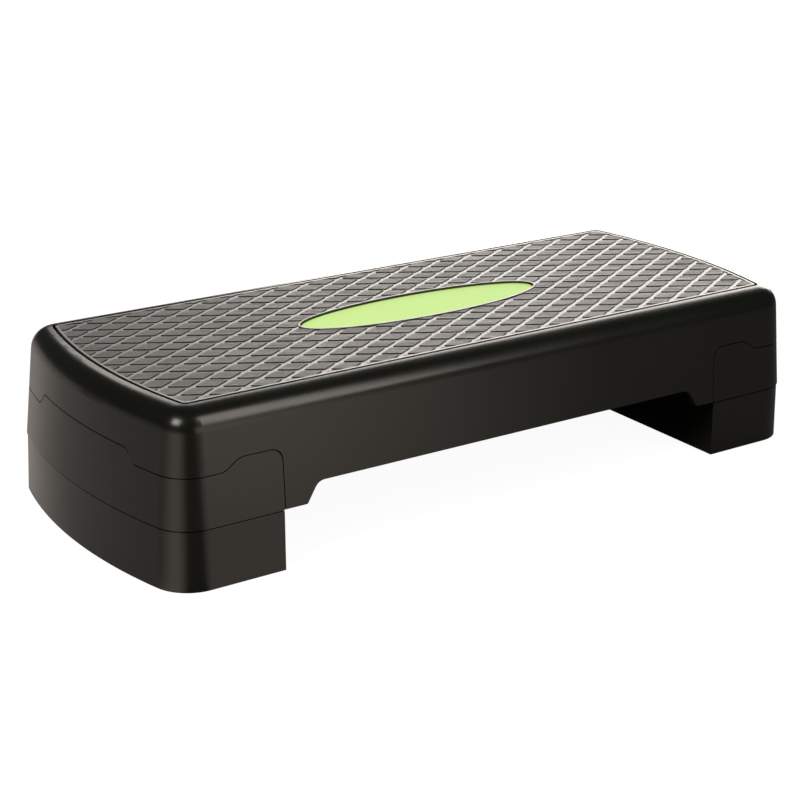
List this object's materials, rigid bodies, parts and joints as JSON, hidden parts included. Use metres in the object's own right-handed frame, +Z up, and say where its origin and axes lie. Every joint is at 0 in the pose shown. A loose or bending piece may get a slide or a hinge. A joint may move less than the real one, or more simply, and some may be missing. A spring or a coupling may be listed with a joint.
{
  "type": "aerobic step platform",
  "caption": "Low exercise step with a lozenge-textured tread, rounded drafted deck and stackable riser blocks that pull off each end to change its height.",
  "frame": {"origin": "on the floor under the middle of the platform, at the bottom centre of its bounding box", "axes": "+X along the long side, +Y across the platform to its back, +Z up through the tread"},
  "size_m": [0.6802, 0.283, 0.144],
  "materials": {
    "black_plastic": "satin black moulded polypropylene with a fine grain",
    "tread_rubber": "dark grey ribbed non-slip pads with smooth channels and frame",
    "badge_green": "smooth light yellow-green inlay",
    "foot_rubber": "matt black rubber"
  },
  "bodies": {
    "deck": {"deck_shell": "black_plastic", "tread_mat": "tread_rubber", "badge_plate": "badge_green"},
    "left_upper": {"left_upper_riser": "black_plastic", "left_upper_foot_inner_front": "foot_rubber", "left_upper_foot_inner_back": "foot_rubber", "left_upper_foot_outer_front": "foot_rubber", "left_upper_foot_outer_back": "foot_rubber"},
    "left_lower": {"left_lower_riser": "black_plastic", "left_lower_foot_inner_front": "foot_rubber", "left_lower_foot_inner_back": "foot_rubber", "left_lower_foot_outer_front": "foot_rubber", "left_lower_foot_outer_back": "foot_rubber"},
    "right_upper": {"right_upper_riser": "black_plastic", "right_upper_foot_inner_front": "foot_rubber", "right_upper_foot_inner_back": "foot_rubber", "right_upper_foot_outer_front": "foot_rubber", "right_upper_foot_outer_back": "foot_rubber"},
    "right_lower": {"right_lower_riser": "black_plastic", "right_lower_foot_inner_front": "foot_rubber", "right_lower_foot_inner_back": "foot_rubber", "right_lower_foot_outer_front": "foot_rubber", "right_lower_foot_outer_back": "foot_rubber"}
  },
  "joints": [
    {"name": "left_upper_pull_off", "type": "slide", "parent": "deck", "child": "left_upper", "axis": [0, 0, -1], "range_m": [0, 0.06]},
    {"name": "left_lower_pull_off", "type": "slide", "parent": "left_upper", "child": "left_lower", "axis": [0, 0, -1], "range_m": [0, 0.02]},
    {"name": "right_upper_pull_off", "type": "slide", "parent": "deck", "child": "right_upper", "axis": [0, 0, -1], "range_m": [0, 0.06]},
    {"name": "right_lower_pull_off", "type": "slide", "parent": "right_upper", "child": "right_lower", "axis": [0, 0, -1], "range_m": [0, 0.02]}
  ]
}
